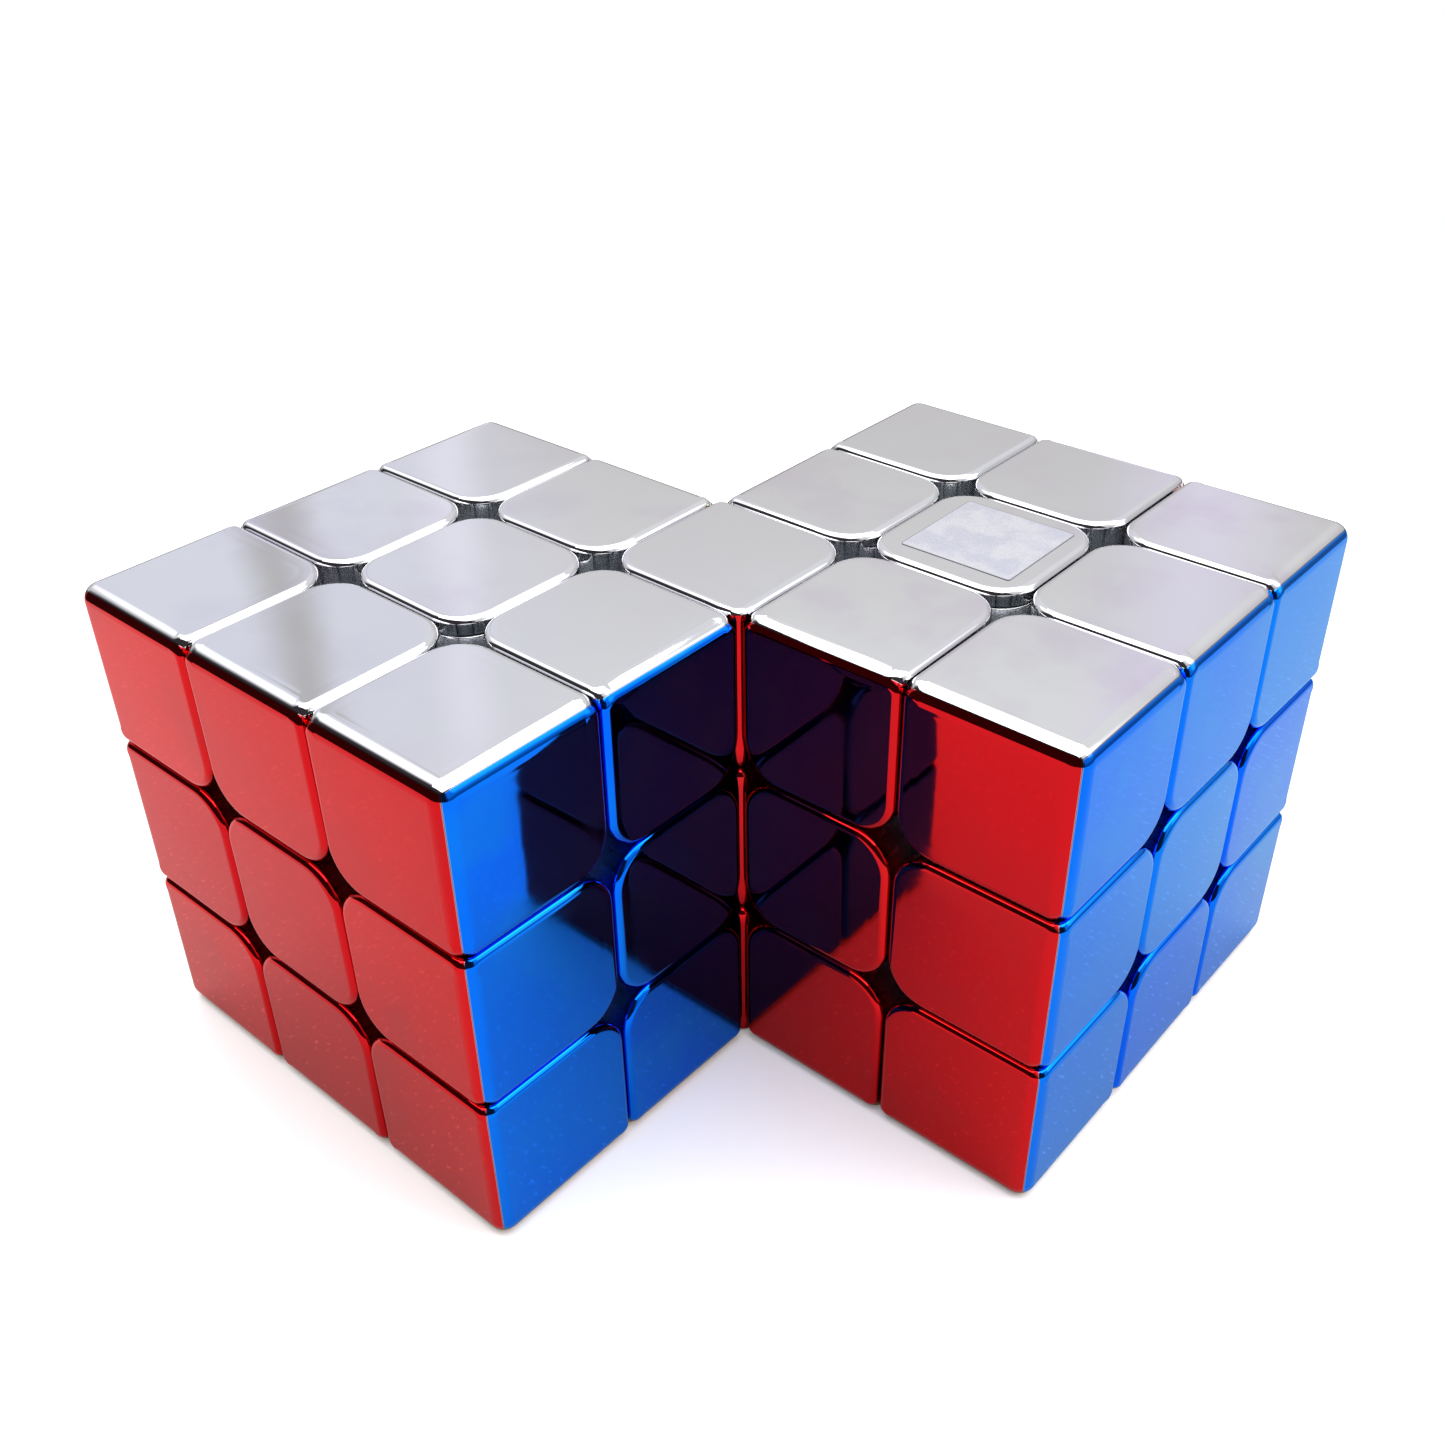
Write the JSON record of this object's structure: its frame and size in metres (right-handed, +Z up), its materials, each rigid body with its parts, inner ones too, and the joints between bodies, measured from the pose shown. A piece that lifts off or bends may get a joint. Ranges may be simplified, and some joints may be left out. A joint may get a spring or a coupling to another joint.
{
  "type": "conjoined mirror cube puzzle",
  "caption": "Mechanical puzzle of two mirror-plated cubes joined corner to corner along a shared upright column, with layers that turn about each cube's own core.",
  "frame": {"origin": "middle of the shared column's bottom face, on the surface that the puzzle stands on; also the middle of the whole footprint", "axes": "+Z up, to the silver faces; +X to the blue faces; -Y to the red faces, so the two cubes lie towards -X -Y and +X +Y"},
  "size_m": [0.0934, 0.0934, 0.056],
  "materials": {
    "plated_silver": "vacuum-metallised mirror, clear lacquer",
    "plated_gold": "vacuum-metallised mirror, gold-tinted lacquer",
    "plated_red": "vacuum-metallised mirror, red-tinted lacquer",
    "plated_orange": "vacuum-metallised mirror, orange-tinted lacquer",
    "plated_blue": "vacuum-metallised mirror, blue-tinted lacquer",
    "plated_green": "vacuum-metallised mirror, green-tinted lacquer",
    "core_plastic": "moulded dark plastic",
    "cubie_plastic": "dark ABS inside the cubies",
    "label_foil": "satin foil label, blank",
    "zinc_steel": "bright zinc plating"
  },
  "bodies": {
    "joined_layers": {"left_cube_corner_top_back_left": "plated_silver", "left_cube_corner_bottom_back_left": "plated_gold", "left_cube_edge_top_back": "plated_silver", "left_cube_edge_bottom_back": "plated_gold", "left_cube_edge_back_left": "plated_orange", "left_cube_centre_back": "plated_orange", "shared_corner_top": "plated_silver", "shared_edge": "plated_red", "shared_corner_bottom": "plated_gold", "right_cube_corner_top_back_left": "plated_silver", "right_cube_corner_bottom_back_left": "plated_gold", "right_cube_edge_top_left": "plated_silver", "right_cube_edge_bottom_left": "plated_gold", "right_cube_edge_back_left": "plated_orange", "right_cube_centre_left": "plated_green"},
    "left_cube_middle_layer": {"left_cube_edge_top_left": "plated_silver", "left_cube_edge_top_right": "plated_silver", "left_cube_edge_bottom_left": "plated_gold", "left_cube_edge_bottom_right": "plated_gold", "left_cube_centre_left": "plated_green", "left_cube_centre_right": "plated_blue", "left_cube_centre_bottom": "plated_gold", "left_cube_centre_top_base": "plated_silver", "left_cube_centre_top_cap": "plated_silver", "left_cube_top_screw": "zinc_steel", "left_cube_top_washer": "zinc_steel", "left_cube_top_spring": "zinc_steel", "left_cube_core": "core_plastic"},
    "left_cube_front_layer": {"left_cube_corner_top_front_left": "plated_silver", "left_cube_corner_top_front_right": "plated_silver", "left_cube_corner_bottom_front_left": "plated_gold", "left_cube_corner_bottom_front_right": "plated_gold", "left_cube_edge_top_front": "plated_silver", "left_cube_edge_bottom_front": "plated_gold", "left_cube_edge_front_left": "plated_red", "left_cube_edge_front_right": "plated_red", "left_cube_centre_front": "plated_red"},
    "right_cube_middle_layer": {"right_cube_edge_top_front": "plated_silver", "right_cube_edge_top_back": "plated_silver", "right_cube_edge_bottom_front": "plated_gold", "right_cube_edge_bottom_back": "plated_gold", "right_cube_centre_front": "plated_red", "right_cube_centre_back": "plated_orange", "right_cube_centre_bottom": "plated_gold", "right_cube_centre_top_base": "plated_silver", "right_cube_centre_top_cap": "plated_silver", "right_cube_top_screw": "zinc_steel", "right_cube_top_washer": "zinc_steel", "right_cube_top_spring": "zinc_steel", "right_cube_core": "core_plastic"},
    "right_cube_right_layer": {"right_cube_corner_top_front_right": "plated_silver", "right_cube_corner_top_back_right": "plated_silver", "right_cube_corner_bottom_front_right": "plated_gold", "right_cube_corner_bottom_back_right": "plated_gold", "right_cube_edge_top_right": "plated_silver", "right_cube_edge_bottom_right": "plated_gold", "right_cube_edge_front_right": "plated_red", "right_cube_edge_back_right": "plated_orange", "right_cube_centre_right": "plated_blue"}
  },
  "joints": [
    {"name": "left_cube_back_turn", "type": "hinge", "parent": "joined_layers", "child": "left_cube_middle_layer", "pos_m": [-0.01867, -0.01867, 0.028], "axis": [0, -1, 0], "continuous": true},
    {"name": "left_cube_front_turn", "type": "hinge", "parent": "left_cube_middle_layer", "child": "left_cube_front_layer", "pos_m": [-0.01867, -0.01867, 0.028], "axis": [0, -1, 0], "continuous": true},
    {"name": "right_cube_left_turn", "type": "hinge", "parent": "joined_layers", "child": "right_cube_middle_layer", "pos_m": [0.01867, 0.01867, 0.028], "axis": [1, 0, 0], "continuous": true},
    {"name": "right_cube_right_turn", "type": "hinge", "parent": "right_cube_middle_layer", "child": "right_cube_right_layer", "pos_m": [0.01867, 0.01867, 0.028], "axis": [1, 0, 0], "continuous": true}
  ]
}
